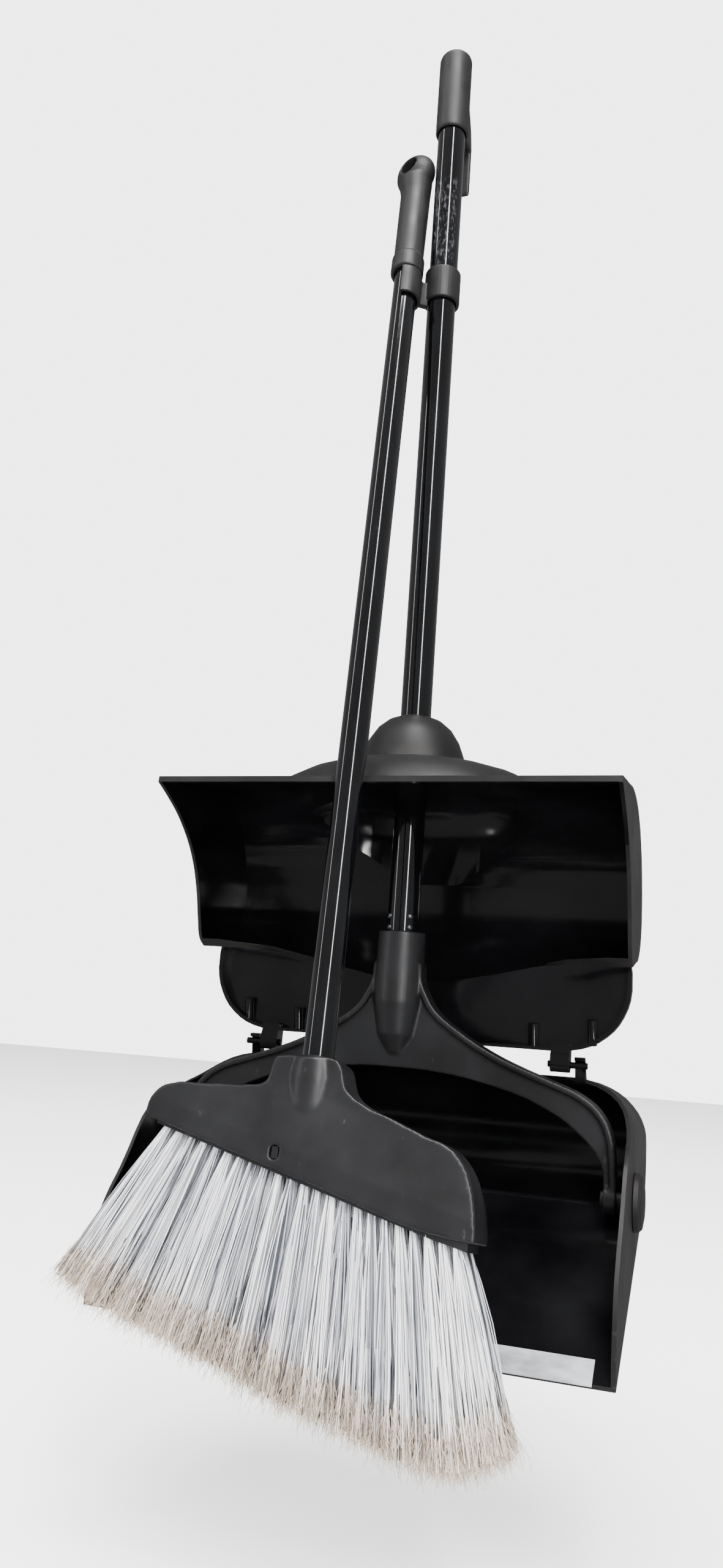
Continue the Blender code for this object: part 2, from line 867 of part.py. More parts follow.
# The broom is laid out in its own frame: the clip is the origin and z runs up its tube
TUBE_TOP = 84 * MM
TUBE_BOTTOM = -612 * MM
broom_tube = turned(
    "broom_tube",
    [
        (BROOM_RADIUS - TUBE_WALL, TUBE_TOP),
        (BROOM_RADIUS, TUBE_TOP),
        (BROOM_RADIUS, TUBE_BOTTOM),
        (BROOM_RADIUS - TUBE_WALL, TUBE_BOTTOM),
    ],
    36,
)
keep(broom_tube, "broom_tube", COATED_STEEL, broom_axis)

# A plastic plug in the tube's lower end carries the thread that screws into the head
threaded_plug = turned(
    "threaded_plug",
    [
        (0, -585 * MM),
        (7 * MM, -585 * MM),
        (7.9 * MM, -587 * MM),
        (7.9 * MM, TUBE_BOTTOM - GAP),
        (9.2 * MM, TUBE_BOTTOM - GAP),
        (9.2 * MM, -616 * MM),
        (7.8 * MM, -617 * MM),
        *[
            (radius * MM, (-618 - turn * 4 - drop) * MM)
            for turn in range(5)
            for radius, drop in ((7.8, 0), (9.1, 1), (9.1, 2), (7.8, 3))
        ],
        (6.5 * MM, -640 * MM),
        (0, -640 * MM),
    ],
    16,
)
keep(threaded_plug, "threaded_plug", GRIP_PLASTIC, broom_axis)

# The broom's grip ends in a ball with a hole to hang it by
broom_grip = turned(
    "broom_grip",
    [
        (0, 104 * MM),
        (12.2 * MM, 98 * MM),
        (12 * MM, 84 * MM),
        (11.9 * MM, 60 * MM),
        (11.7 * MM, 24 * MM),
        (11.9 * MM, 21 * MM),
        (12.9 * MM, 19.5 * MM),
        (12.9 * MM, 5 * MM),
        (12.4 * MM, 4.6 * MM),
        (0, 4.6 * MM),
    ],
    28,
)
BALL = Vector((-1.5 * MM, 0, 114 * MM))
HOLE_TURN = math.radians(-22)
bm = bmesh.new()
bmesh.ops.create_uvsphere(bm, u_segments=28, v_segments=16, radius=17.2 * MM)
bmesh.ops.scale(bm, vec=(1, 0.74, 1), verts=bm.verts)
bmesh.ops.rotate(bm, cent=(0, 0, 0), matrix=Matrix.Rotation(HOLE_TURN, 3, "Z"), verts=bm.verts)
bmesh.ops.translate(bm, vec=BALL, verts=bm.verts)
ball = smooth(from_bmesh("ball", bm))
combine(broom_grip, cutter(ball, broom_axis), "UNION")
neck = rod("neck", 12.1 * MM, (0, 0, 90 * MM), (-1 * MM, 0, 105 * MM), 40, 13.5 * MM)
combine(broom_grip, cutter(neck, broom_axis), "UNION")
hole_way = Vector((math.sin(HOLE_TURN), -math.cos(HOLE_TURN), 0))
HANG_HOLE_RADIUS = 7.6 * MM
hole = rod(
    "hang hole",
    HANG_HOLE_RADIUS,
    BALL + hole_way * 30 * MM + Vector((0, 0, 1.5 * MM)),
    BALL - hole_way * 30 * MM + Vector((0, 0, 1.5 * MM)),
    32,
)
combine(broom_grip, cutter(hole, broom_axis))
bore = rod("broom grip bore", BROOM_RADIUS + GAP, (0, 0, 0), (0, 0, TUBE_TOP + GAP), 32)
combine(broom_grip, cutter(bore, broom_axis))
keep(broom_grip, "broom_grip", GRIP_PLASTIC, broom_axis)

# The head is a moulded shell with the socket for the tube. It snaps over the tuft block.
HEAD_TOP = [
    (-92.5, -626),
    (-86.4, -620.8),
    (-60, -618.8),
    (-34, -617.6),
    (-26, -615.5),
    (-23.6, -608),
    (-21.5, -601.5),
    (-12, -600),
    (10, -600),
    (17.5, -603),
    (20.6, -610),
    (23, -617),
    (32, -624),
    (50, -631),
    (70, -639),
    (84, -644),
    (92, -652),
    (97.5, -664),
    (100.4, -678),
    (101.2, -690.5, "corner"),
]
HEAD_BOTTOM = [
    (72.5, -687.2),
    (23, -672.8),
    (-38, -655.4),
    (-96, -639.2, "corner"),
    (-95.5, -633),
]
HEAD_DEPTH = 17.5 * MM
HEAD_FOOT = Vector((0, 0, -666 * MM))  # on the head's lower edge, under the socket
FOOT_NORMAL = Vector((0.27, 0, 1)).normalized()
LEAN_HEIGHTS = (12, 44)  # in millimetres above the lower edge
LEAN_LOSS = 0.26


def lean(obj):
    """Thins a slab towards its top, in proportion to the height above the head's lower edge."""
    bm = bmesh.new()
    bm.from_mesh(obj.data)
    low, high = LEAN_HEIGHTS
    for height in (low, 22, 32, high):
        bmesh.ops.bisect_plane(
            bm,
            geom=bm.verts[:] + bm.edges[:] + bm.faces[:],
            plane_co=HEAD_FOOT + FOOT_NORMAL * height * MM,
            plane_no=FOOT_NORMAL,
        )
    for vert in bm.verts:
        height = (vert.co - HEAD_FOOT).dot(FOOT_NORMAL) / MM
        share = min(max((height - low) / (high - low), 0), 1)
        vert.co.y *= 1 - LEAN_LOSS * share
    bm.to_mesh(obj.data)
    bm.free()
    return obj


head = lean(front_slab("broom_head", HEAD_TOP + HEAD_BOTTOM, -HEAD_DEPTH, HEAD_DEPTH))
thin = head.modifiers.new("rounded", "BEVEL")
thin.width = 4.5 * MM
thin.segments = 2
thin.limit_method = "ANGLE"
thin.angle_limit = math.radians(60)
SHELL_INSIDE = [
    (-89, -640, "corner"),
    (-89, -628),
    (-80, -623.4),
    (-34, -621),
    (-22, -622, "corner"),
    (22, -622, "corner"),
    (30, -627),
    (50, -634),
    (69, -642),
    (82, -647),
    (89, -654),
    (94, -665),
    (97.4, -679),
    (97.6, -705, "corner"),
    (-92, -650, "corner"),
]
shell_inside = front_slab("head inside", SHELL_INSIDE, -HEAD_DEPTH + WALL, HEAD_DEPTH - WALL)
combine(head, cutter(lean(shell_inside), broom_axis))
neck = turned(
    "head neck",
    [
        (0, -600 * MM),
        (14.6 * MM, -600 * MM),
        (16.2 * MM, -601.5 * MM),
        (17 * MM, -612 * MM),
        (15.6 * MM, -628 * MM),
        (12.6 * MM, -640 * MM),
        (0, -642 * MM),
    ],
)
combine(head, cutter(neck, broom_axis), "UNION")
socket = rod("head socket", BROOM_RADIUS + GAP, (0, 0, -590 * MM), (0, 0, -645 * MM), 32)
combine(head, cutter(socket, broom_axis))
window = box(
    "snap window", (-15.8 * MM, -25 * MM, -657.5 * MM), (-11.2 * MM, -10 * MM, -650.2 * MM)
)
combine(head, cutter(window, broom_axis))
keep(head, "broom_head", MATT_PLASTIC, broom_axis)

# The block holds the tufts and fills the shell's open side
BLOCK = [
    (-88.4, -630.8, "corner"),
    (-38, -644.4),
    (23, -661.6),
    (72, -675.6),
    (97, -682.8, "corner"),
    (97, -694.6, "corner"),
    (72, -688.6),
    (23, -674.4),
    (-38, -657),
    (-88.4, -642.8, "corner"),
]
BLOCK_DEPTH = HEAD_DEPTH - WALL - GAP
block = front_slab("tuft_block", BLOCK, -BLOCK_DEPTH, BLOCK_DEPTH)
for low_depth, low_height in ((-14.7 * MM, -658 * MM), (-16.2 * MM, -657.1 * MM)):
    latch = box(
        "snap latch",
        (-15.4 * MM, low_depth, low_height),
        (-11.6 * MM, -12.5 * MM, -650.6 * MM),
    )
    combine(block, cutter(latch, broom_axis), "UNION")
keep(block, "tuft_block", MATT_PLASTIC, broom_axis)

# Five rows of tufts, each a plain solid that fans out below the block
ROWS = 5
ROW_SPREAD = 6.2 * MM
ROW_THICKNESS = 2.6 * MM
for row in range(ROWS):
    centre = (row - (ROWS - 1) / 2) * ROW_SPREAD
    tips = [
        (-84, -644.6, "corner"),
        (-38, -657.6, "corner"),
        (23, -675, "corner"),
        (72, -689.2, "corner"),
        (95, -695.2, "corner"),
        (108, -737, "corner"),
        (119, -786, "corner"),
        (108, -797, "corner"),
        (91, -800, "corner"),
        (75, -795, "corner"),
        (48, -785, "corner"),
        (0, -770, "corner"),
        (-40, -757, "corner"),
        (-90, -744, "corner"),
        (-124, -731, "corner"),
        (-143, -720, "corner"),
        (-140, -711, "corner"),
    ]
    name = f"tuft_row_{row + 1}"
    tufts = front_slab(
        name, tips, centre - ROW_THICKNESS / 2, centre + ROW_THICKNESS / 2, 1
    )
    bm = bmesh.new()
    bm.from_mesh(tufts.data)
    for vert in bm.verts:
        fan = min(max((-700 * MM - vert.co.z) / (80 * MM), 0), 1)
        vert.co.y += centre * 0.5 * fan
    bm.to_mesh(tufts.data)
    bm.free()
    keep(tufts, name, FILAMENT, broom_axis)
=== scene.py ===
"""The looks of a lobby dustpan with a hinged hood, and of the angled broom that clips to its pole.

Units are metres, +Z is up, and the origin is the seat of the hook that the set hangs by.
"""

import json
import math

import bmesh
import bpy
import numpy as np
from mathutils import Matrix, Vector


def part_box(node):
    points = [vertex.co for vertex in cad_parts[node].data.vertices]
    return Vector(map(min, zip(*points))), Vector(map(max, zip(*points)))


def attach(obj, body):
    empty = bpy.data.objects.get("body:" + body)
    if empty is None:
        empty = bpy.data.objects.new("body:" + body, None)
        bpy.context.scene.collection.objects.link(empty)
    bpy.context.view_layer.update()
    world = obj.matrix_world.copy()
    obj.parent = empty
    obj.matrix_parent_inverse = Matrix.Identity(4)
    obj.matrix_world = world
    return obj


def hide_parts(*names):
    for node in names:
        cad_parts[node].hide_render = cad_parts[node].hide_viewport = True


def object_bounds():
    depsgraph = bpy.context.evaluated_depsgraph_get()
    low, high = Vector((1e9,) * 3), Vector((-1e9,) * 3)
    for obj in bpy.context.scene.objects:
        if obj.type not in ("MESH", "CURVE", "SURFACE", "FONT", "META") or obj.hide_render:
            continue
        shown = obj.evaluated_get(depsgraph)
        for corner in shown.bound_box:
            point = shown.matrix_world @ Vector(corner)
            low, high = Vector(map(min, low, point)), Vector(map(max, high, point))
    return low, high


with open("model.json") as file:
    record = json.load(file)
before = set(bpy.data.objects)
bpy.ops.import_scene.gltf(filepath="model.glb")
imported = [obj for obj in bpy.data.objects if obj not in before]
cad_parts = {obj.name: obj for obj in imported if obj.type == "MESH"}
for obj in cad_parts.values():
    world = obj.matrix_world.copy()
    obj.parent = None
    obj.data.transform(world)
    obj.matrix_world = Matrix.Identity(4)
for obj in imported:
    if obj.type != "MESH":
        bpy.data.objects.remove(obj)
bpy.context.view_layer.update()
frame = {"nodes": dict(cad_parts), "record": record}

# ---------------------------------------------------------------- dustpan tube
# A drawn steel tube of 22 mm with a thin wall. Its open ends sit in the grip and on the yoke's
# spigot. It is powder coated in gloss black, so a lamp is a narrow bright line down its length.

MM = 0.001
POLE_X, POLE_Y = 0.0, -16 * MM
TUBE_WALL = 1 * MM
STICKER_LOW, STICKER_HIGH = -135 * MM, -45 * MM
pole_low, pole_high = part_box("dustpan_pole")
POLE_RADIUS = (pole_high.x - pole_low.x) / 2
body_of = {
    node: body
    for body, nodes in frame["record"]["behaviour"]["bodies"].items()
    for node in nodes
}


def linear(hex_colour):
    """An sRGB hex colour as linear red, green, blue and alpha."""
    shares = [int(hex_colour[i : i + 2], 16) / 255 for i in (1, 3, 5)]
    return [s / 12.92 if s <= 0.04045 else ((s + 0.055) / 1.055) ** 2.4 for s in shares] + [1]


def add(tree, kind, settings=None, links=None, values=None):
    """Adds one node: its settings, the sockets that feed it, and its inputs' values."""
    made = tree.nodes.new(kind)
    for key, value in (settings or {}).items():
        setattr(made, key, value)
    for key, value in (values or {}).items():
        made.inputs[key].default_value = value
    for key, source in (links or {}).items():
        tree.links.new(source, made.inputs[key])
    return made


def new_material(name, **values):
    """A Principled material, its tree, its shader, and the Object coordinates."""
    look = bpy.data.materials.new(name)
    look.use_nodes = True
    shader = look.node_tree.nodes["Principled BSDF"]
    for key, value in values.items():
        shader.inputs[key.replace("_", " ")].default_value = value
    where = add(look.node_tree, "ShaderNodeTexCoord").outputs["Object"]
    return look, look.node_tree, shader, where


def noise(tree, where, size, detail=3.0, stretch=(1, 1, 1)):
    """Noise whose features are about as wide as the given size in metres."""
    scaled = add(tree, "ShaderNodeMapping", links={"Vector": where}, values={"Scale": stretch})
    made = add(
        tree,
        "ShaderNodeTexNoise",
        links={"Vector": scaled.outputs["Vector"]},
        values={"Scale": 1 / size, "Detail": detail, "Roughness": 0.55},
    )
    return made.outputs["Fac"]


def ramp(tree, source, stops):
    """A colour or grey by stops of (place, colour)."""
    made = add(tree, "ShaderNodeValToRGB", links={"Fac": source})
    elements = made.color_ramp.elements
    while len(elements) < len(stops):
        elements.new(0.5)
    for element, (place, colour) in zip(elements, stops):
        element.position = place
        element.color = colour if isinstance(colour, list) else [colour] * 3 + [1]
    return made.outputs["Color"]


def bump(tree, shader, height, depth, strength=1.0, under=None):
    """Bump of a real depth in metres, over another bump if one is given."""
    links = {"Height": height}
    if under is not None:
        links["Normal"] = under
    made = add(
        tree, "ShaderNodeBump", links=links, values={"Distance": depth, "Strength": strength}
    )
    tree.links.new(made.outputs["Normal"], shader.inputs["Normal"])
    return made.outputs["Normal"]


def maths(tree, operation, *terms):
    """One sum on sockets and numbers."""
    made = add(tree, "ShaderNodeMath", {"operation": operation})
    for place, term in enumerate(terms):
        if isinstance(term, (int, float)):
            made.inputs[place].default_value = term
        else:
            tree.links.new(term, made.inputs[place])
    return made.outputs[0]


def coated_steel():
    """Gloss black powder coat: orange peel, long rub marks, and the torn rest of a sticker."""
    look, tree, shader, where = new_material("gloss black powder coat", Coat_Weight=0.4)
    rubs = noise(tree, where, 4 * MM, 4, (1, 1, 0.06))
    dust = noise(tree, where, 30 * MM, 5, (1, 1, 0.5))
    mixed = maths(tree, "MULTIPLY", rubs, dust)
    black = ramp(
        tree,
        mixed,
        [(0.16, linear("#040405")), (0.4, linear("#090a0c")), (0.56, linear("#1d1e22"))],
    )
    # paper fibres and glue left by a sticker, on the tube's front below its grip
    axes = add(tree, "ShaderNodeSeparateXYZ", links={"Vector": where}).outputs
    height = ramp(
        tree,
        add(
            tree,
            "ShaderNodeMapRange",
            links={"Value": axes["Z"]},
            values={"From Min": STICKER_LOW, "From Max": STICKER_HIGH},
        ).outputs[0],
        [(0.0, 0), (0.04, 1), (0.93, 1), (1.0, 0)],
    )
    front = ramp(
        tree,
        add(
            tree,
            "ShaderNodeMapRange",
            links={"Value": axes["Y"]},
            values={"From Min": POLE_Y - POLE_RADIUS, "From Max": POLE_Y},
        ).outputs[0],
        [(0.0, 1), (0.35, 1), (0.5, 0)],
    )
    fibres = ramp(tree, noise(tree, where, 2.2 * MM, 7, (1, 1, 0.45)), [(0.5, 0), (0.7, 0.12)])
    residue = maths(tree, "MULTIPLY", maths(tree, "MULTIPLY", height, front), fibres)
    colour = add(
        tree,
        "ShaderNodeMix",
        {"data_type": "RGBA"},
        {0: residue, 6: black},
        {7: linear("#a4a5ab")},
    ).outputs[2]
    tree.links.new(colour, shader.inputs["Base Color"])
    gloss = ramp(tree, mixed, [(0.16, 0.07), (0.38, 0.12), (0.56, 0.35)])
    tree.links.new(maths(tree, "MULTIPLY_ADD", residue, 0.45, gloss), shader.inputs["Roughness"])
    shader.inputs["Coat Roughness"].default_value = 0.06
    # the coat's orange peel, drawn long and shallow so that the bright line only wavers
    under = bump(tree, shader, noise(tree, where, 12 * MM, 1, (1, 1, 0.3)), 0.01 * MM, 0.3)
    bump(tree, shader, residue, 0.01 * MM, 0.2, under)
    return look


COATED_STEEL = coated_steel()


def new_piece(name, bm, look, smooth_angle=35):
    """A mesh object in the scene from a bmesh, with its material."""
    mesh = bpy.data.meshes.new(name)
    bm.to_mesh(mesh)
    bm.free()
    mesh.materials.append(look)
    mesh.shade_smooth()
    if smooth_angle:
        mesh.set_sharp_from_angle(angle=math.radians(smooth_angle))
    piece = bpy.data.objects.new(name, mesh)
    bpy.context.scene.collection.objects.link(piece)
    return piece


def stand_for(piece, node):
    """The piece takes a CAD node's place: its body, and the node is hidden."""
    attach(piece, body_of[node])
    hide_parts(node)
    return piece


def tube(name, low, high, radius, wall, look, sides=72):
    """An open tube between two points, with a rounded rim at each end."""
    bm = bmesh.new()
    rim = 0.35 * wall
    length = (high - low).length
    ring = [
        bm.verts.new((x, 0, z))
        for x, z in (
            (radius - wall, rim),
            (radius - wall + rim, 0),
            (radius - rim, 0),
            (radius, rim),
            (radius, length - rim),
            (radius - rim, length),
            (radius - wall + rim, length),
            (radius - wall, length - rim),
        )
    ]
    for a, b in zip(ring, ring[1:] + ring[:1]):
        bm.edges.new((a, b))
    bmesh.ops.spin(
        bm,
        geom=bm.verts[:] + bm.edges[:],
        cent=(0, 0, 0),
        axis=(0, 0, 1),
        angle=math.tau,
        steps=sides,
        use_merge=True,
    )
    bmesh.ops.remove_doubles(bm, verts=bm.verts, dist=0.00001)
    bmesh.ops.recalc_face_normals(bm, faces=bm.faces)
    turn = (high - low).to_track_quat("Z", "Y").to_matrix().to_4x4()
    bmesh.ops.transform(bm, matrix=Matrix.Translation(low) @ turn, verts=bm.verts)
    return new_piece(name, bm, look)


pole = tube(
    "dustpan_tube",
    Vector((POLE_X, POLE_Y, pole_low.z)),
    Vector((POLE_X, POLE_Y, pole_high.z)),
    POLE_RADIUS,
    TUBE_WALL,
    COATED_STEEL,
)
stand_for(pole, "dustpan_pole")

# ---------------------------------------------------------------- grips and clip
# Moulded caps and a clip of a matt grey-black plastic, pressed on the tubes. The mould's
# fine spark grain keeps them dull, and every edge is rounded by the mould.


def grip_plastic():
    """Matt thermoplastic: spark-eroded grain, faint flow marks, polish where hands rub."""
    look, tree, shader, where = new_material("spark-grained grip plastic", IOR=1.49)
    handling = noise(tree, where, 22 * MM, 4)
    colour = ramp(tree, handling, [(0.3, linear("#101011")), (0.7, linear("#171718"))])
    tree.links.new(colour, shader.inputs["Base Color"])
    rough = ramp(tree, handling, [(0.3, 0.42), (0.7, 0.58)])
    tree.links.new(rough, shader.inputs["Roughness"])
    # the real grain is about 0.1 mm, drawn at 0.5 mm so that it shows
    bump(tree, shader, noise(tree, where, 0.5 * MM, 2), 0.03 * MM)
    return look


GRIP_PLASTIC = grip_plastic()


def merged(node):
    """A CAD node's mesh with its loose triangles joined and its flat faces made whole."""
    bm = bmesh.new()
    bm.from_mesh(frame["nodes"][node].data)
    bmesh.ops.remove_doubles(bm, verts=bm.verts, dist=0.00001)
    bmesh.ops.dissolve_limit(
        bm, angle_limit=math.radians(0.6), verts=bm.verts, edges=bm.edges, delimit={"NORMAL"}
    )
    return bm


def apply_modifiers(piece):
    """Bakes a piece's modifiers into its mesh."""
    bpy.context.view_layer.update()
    seen = piece.evaluated_get(bpy.context.evaluated_depsgraph_get())
    mesh = bpy.data.meshes.new_from_object(seen)
    old = piece.data
    piece.modifiers.clear()
    piece.data = mesh
    bpy.data.meshes.remove(old)
    return piece


def soft_moulding(name, node, look, voxel, rounds):
    """A moulding with blended corners: fine remeshed, then its edges are rubbed round."""
    piece = new_piece(name, merged(node), look, None)
    remesh = piece.modifiers.new("skin", "REMESH")
    remesh.mode = "VOXEL"
    remesh.voxel_size = voxel
    remesh.use_smooth_shade = True
    rub = piece.modifiers.new("rounded corners", "SMOOTH")
    rub.factor = 0.5
    rub.iterations = rounds
    apply_modifiers(piece)
    return stand_for(piece, node)


soft_moulding("dustpan_grip_cap", "dustpan_grip", GRIP_PLASTIC, 0.8 * MM, 6)
soft_moulding("pole_clip_moulding", "pole_clip", GRIP_PLASTIC, 0.55 * MM, 4)

# ---------------------------------------------------------------- yoke
# One matt moulding of glass-filled polypropylene: a socket for the tube, and two arms that
# reach into the pan. A flange along its outer edge stiffens it and catches the light.


def matt_plastic():
    """Matt moulded polypropylene: soft sheen, flow marks, and pale scuffs here and there."""
    look, tree, shader, where = new_material("matt moulded polypropylene", IOR=1.49)
    flow = noise(tree, where, 45 * MM, 5)
    scuffs = noise(tree, where, 3 * MM, 6, (1, 1, 0.3))
    base = ramp(tree, flow, [(0.3, linear("#101011")), (0.7, linear("#171719"))])
    worn = ramp(tree, scuffs, [(0.66, 0), (0.76, 0.35)])
    colour = add(
        tree,
        "ShaderNodeMix",
        {"data_type": "RGBA"},
        {0: worn, 6: base},
        {7: linear("#47484b")},
    ).outputs[2]
    tree.links.new(colour, shader.inputs["Base Color"])
    rough = ramp(tree, flow, [(0.3, 0.32), (0.7, 0.46)])
    tree.links.new(rough, shader.inputs["Roughness"])
    # a mould grain of about 0.2 mm, drawn at 0.7 mm so that it shows
    bump(tree, shader, noise(tree, where, 0.7 * MM, 2), 0.03 * MM)
    return look


MATT_PLASTIC = matt_plastic()
soft_moulding("yoke_moulding", "yoke", MATT_PLASTIC, 0.95 * MM, 3)

# ---------------------------------------------------------------- rivets
# Four steel blind rivets hold the tube on the yoke's spigot. Their domed heads are pressed
# flush, a little uneven, and dulled by damp.


def rivet_steel():
    look, tree, shader, where = new_material("tarnished rivet steel", Metallic=1.0)
    shader.inputs["Base Color"].default_value = linear("#77787d")
    rough = ramp(tree, noise(tree, where, 0.8 * MM), [(0.3, 0.22), (0.7, 0.5)])
    tree.links.new(rough, shader.inputs["Roughness"])
    bump(tree, shader, noise(tree, where, 1.2 * MM, 2), 0.05 * MM)
    return look


RIVET_STEEL = rivet_steel()
RIVETS = ("pole_rivet_1", "pole_rivet_2", "pole_rivet_3", "pole_rivet_4")
RIVET_HEAD = 2.2 * MM
for node in RIVETS:
    low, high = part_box(node)
    middle = (low + high) / 2
    way = (middle - Vector((POLE_X, POLE_Y, middle.z))).normalized()
    bm = bmesh.new()
    bmesh.ops.create_uvsphere(bm, u_segments=24, v_segments=12, radius=RIVET_HEAD)
    bmesh.ops.bisect_plane(
        bm,
        geom=bm.verts[:] + bm.edges[:] + bm.faces[:],
        plane_co=(0, 0, 0),
        plane_no=(0, 0, 1),
        clear_inner=True,
    )
    rim = [edge for edge in bm.edges if edge.is_boundary]
    grown = bmesh.ops.extrude_edge_only(bm, edges=rim)["geom"]
    stem = [item for item in grown if isinstance(item, bmesh.types.BMVert)]
    bmesh.ops.translate(bm, vec=(0, 0, -3 * MM), verts=stem)
    bmesh.ops.scale(bm, vec=(1, 1, 0.5), verts=[v for v in bm.verts if v.co.z > 0])
    bmesh.ops.holes_fill(bm, edges=[edge for edge in bm.edges if edge.is_boundary])
    bmesh.ops.recalc_face_normals(bm, faces=bm.faces)
    seat = Vector((POLE_X, POLE_Y, middle.z)) + way * (POLE_RADIUS + 0.1 * MM)
    turn = way.to_track_quat("Z", "Y").to_matrix().to_4x4()
    bmesh.ops.transform(bm, matrix=Matrix.Translation(seat) @ turn, verts=bm.verts)
    stand_for(new_piece(node.replace("pole_rivet", "rivet_head"), bm, RIVET_STEEL), node)

# ---------------------------------------------------------------- pan
# One thin moulding of black polypropylene. The mould's polished core leaves the inside glossy,
# with a fine haze of scratches from swept grit, and its grained cavity leaves the outside matt.


def pan_plastic():
    """Polished black polypropylene: a wet gloss broken by grit scratches and dust."""
    look, tree, shader, where = new_material("polished black polypropylene", IOR=1.5)
    haze = noise(tree, where, 60 * MM, 5)
    scratches = noise(tree, where, 5 * MM, 6, (0.15, 1, 1))
    colour = ramp(tree, haze, [(0.3, linear("#040405")), (0.72, linear("#0b0b0d"))])
    tree.links.new(colour, shader.inputs["Base Color"])
    rough = add(
        tree,
        "ShaderNodeMath",
        {"operation": "MULTIPLY_ADD"},
        {0: scratches, 2: ramp(tree, haze, [(0.3, 0.06), (0.7, 0.17)])},
        {1: 0.1},
    ).outputs[0]
    tree.links.new(rough, shader.inputs["Roughness"])
    # sink marks, where the thick and thin parts of the moulding cooled apart
    under = bump(tree, shader, noise(tree, where, 28 * MM, 2), 0.5 * MM, 0.5)
    bump(tree, shader, scratches, 0.03 * MM, 0.6, under)
    return look


PAN_PLASTIC = pan_plastic()


def crisp_moulding(name, node, look, edge):
    """A thin-walled moulding with small rounded edges."""
    piece = new_piece(name, merged(node), look, 30)
    rounded = piece.modifiers.new("rounded edges", "BEVEL")
    rounded.width = edge
    rounded.segments = 2
    rounded.limit_method = "ANGLE"
    rounded.angle_limit = math.radians(35)
    rounded.harden_normals = True
    apply_modifiers(piece)
    return stand_for(piece, node)




def grained_plastic():
    """The same polypropylene off a grained mould half: matt, dusty, scuffed here and there."""
    look, tree, shader, where = new_material("spark-grained black polypropylene", IOR=1.49)
    dust = noise(tree, where, 50 * MM, 6)
    scuffs = noise(tree, where, 4 * MM, 6, (1, 0.3, 1))
    base = ramp(
        tree, dust, [(0.3, linear("#0a0a0b")), (0.55, linear("#100f0f")), (0.78, linear("#1c1917"))]
    )
    worn = ramp(tree, scuffs, [(0.66, 0), (0.78, 0.35)])
    colour = add(
        tree,
        "ShaderNodeMix",
        {"data_type": "RGBA"},
        {0: worn, 6: base},
        {7: linear("#3f3b39")},
    ).outputs[2]
    tree.links.new(colour, shader.inputs["Base Color"])
    rough = ramp(tree, dust, [(0.3, 0.4), (0.7, 0.6)])
    tree.links.new(rough, shader.inputs["Roughness"])
    # the grain is about 0.15 mm, drawn at 0.7 mm so that it shows
    bump(tree, shader, noise(tree, where, 0.7 * MM, 2), 0.035 * MM)
    return look


GRAINED_PLASTIC = grained_plastic()


END_WALL = 0.6  # a face whose normal leans this far sideways is part of an end wall


def grain_outside(piece, axis_y, axis_z, look):
    """Gives the faces that look away from the moulding's long axis a second finish."""
    piece.data.materials.append(look)
    for face in piece.data.polygons:
        if abs(face.normal.x) > END_WALL:
            away = Vector((face.center.x, 0, 0))
        else:
            away = Vector((0, face.center.y - axis_y, face.center.z - axis_z))
        face.material_index = int(face.normal.dot(away) > 0)


pan = crisp_moulding("pan_moulding", "pan_shell", PAN_PLASTIC, 0.6 * MM)
grain_outside(pan, POLE_Y + 20 * MM, -787 * MM, GRAINED_PLASTIC)
for side in ("left", "right"):
    crisp_moulding(f"pivot_cap_{side}", f"pivot_pin_{side}", GRAINED_PLASTIC, 0.4 * MM)

# ---------------------------------------------------------------- lip strip
# A strip of grey thermoplastic rubber, moulded on the ramp's front edge to seal against the
# floor. Dirt greys it in patches.


def lip_rubber():
    look, tree, shader, where = new_material("grey thermoplastic rubber", IOR=1.5)
    dirt = noise(tree, where, 12 * MM, 6, (0.5, 1, 1))
    colour = ramp(tree, dirt, [(0.32, linear("#75767a")), (0.6, linear("#a6a7aa"))])
    tree.links.new(colour, shader.inputs["Base Color"])
    rough = ramp(tree, dirt, [(0.3, 0.7), (0.7, 0.48)])
    tree.links.new(rough, shader.inputs["Roughness"])
    bump(tree, shader, noise(tree, where, 0.8 * MM, 2), 0.04 * MM)
    return look


LIP_RUBBER = lip_rubber()
crisp_moulding("lip_strip_rubber", "lip_strip", LIP_RUBBER, 0.2 * MM)

# ---------------------------------------------------------------- hood
# The second thin moulding, of the same black polypropylene, glossy inside and grained outside:
# a trough with end walls, a flat plate with the hinge tabs, and a dome that rides on the pole.

hood = crisp_moulding("hood_moulding", "hood_shell", PAN_PLASTIC, 0.6 * MM)
grain_outside(hood, POLE_Y, -617 * MM, GRAINED_PLASTIC)
for side in ("left", "right"):
    crisp_moulding(f"hinge_pin_rod_{side}", f"hinge_pin_{side}", PAN_PLASTIC, 0.3 * MM)

# ---------------------------------------------------------------- broom tube and grip
# A thinner coated steel tube of 18.5 mm, which leans forward from the clip. Its grip ends in
# a ball with a hole through it to hang the broom by.

CLIP = Vector((-24.5 * MM, -34 * MM, -142 * MM))
BROOM_UP = Vector((-0.0265, 0.185, 1)).normalized()
broom_side = (Vector((1, 0, 0)) - BROOM_UP * BROOM_UP.x).normalized()
BROOM_AXES = Matrix((broom_side, BROOM_UP.cross(broom_side), BROOM_UP)).transposed()
BROOM_FRAME = Matrix.Translation(CLIP) @ BROOM_AXES.to_4x4()
BROOM_RADIUS = 9.25 * MM
BROOM_TOP, BROOM_BOTTOM = 84 * MM, -612 * MM

